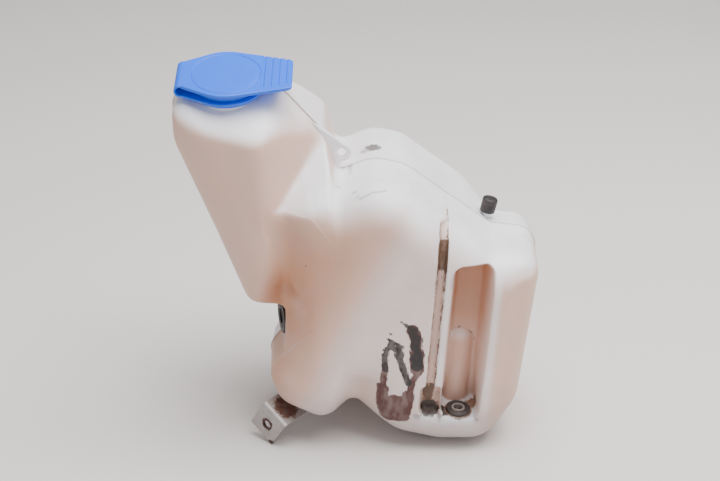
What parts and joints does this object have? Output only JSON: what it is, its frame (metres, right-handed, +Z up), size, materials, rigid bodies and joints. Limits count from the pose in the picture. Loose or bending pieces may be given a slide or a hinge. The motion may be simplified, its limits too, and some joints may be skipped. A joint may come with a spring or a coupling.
{
  "type": "washer fluid reservoir",
  "caption": "Blow-moulded translucent tank with a leaning filler tower, flip-lid filler cap, pump recess, rubber grommets, vent cap and a bolt-on plate bracket.",
  "frame": {"origin": "middle of the part's footprint, at the height of its lowest point", "axes": "+Z up through the filler tower, +X to the right seen from the pump recess side, +Y away from that side; the mould seam is parallel to XZ"},
  "size_m": [0.265, 0.142, 0.2879],
  "materials": {
    "tank_plastic": "translucent natural polyethylene, soft sheen",
    "cap_plastic": "blue polypropylene",
    "rubber": "matt black rubber",
    "plated_steel": "dull zinc plate with rust round the holes"
  },
  "bodies": {
    "reservoir": {"tank": "tank_plastic", "cap_collar": "cap_plastic", "sensor_grommet": "rubber", "pump_grommet": "rubber", "vent_cap": "rubber", "bracket": "plated_steel", "bracket_screw": "plated_steel"},
    "lid": {"cap_lid": "cap_plastic"}
  },
  "joints": [
    {"name": "lid_hinge", "type": "hinge", "parent": "reservoir", "child": "lid", "pos_m": [-0.129, -0.00915, 0.27664], "axis": [0, -0.9744, -0.225], "range_deg": [0, 120]}
  ]
}
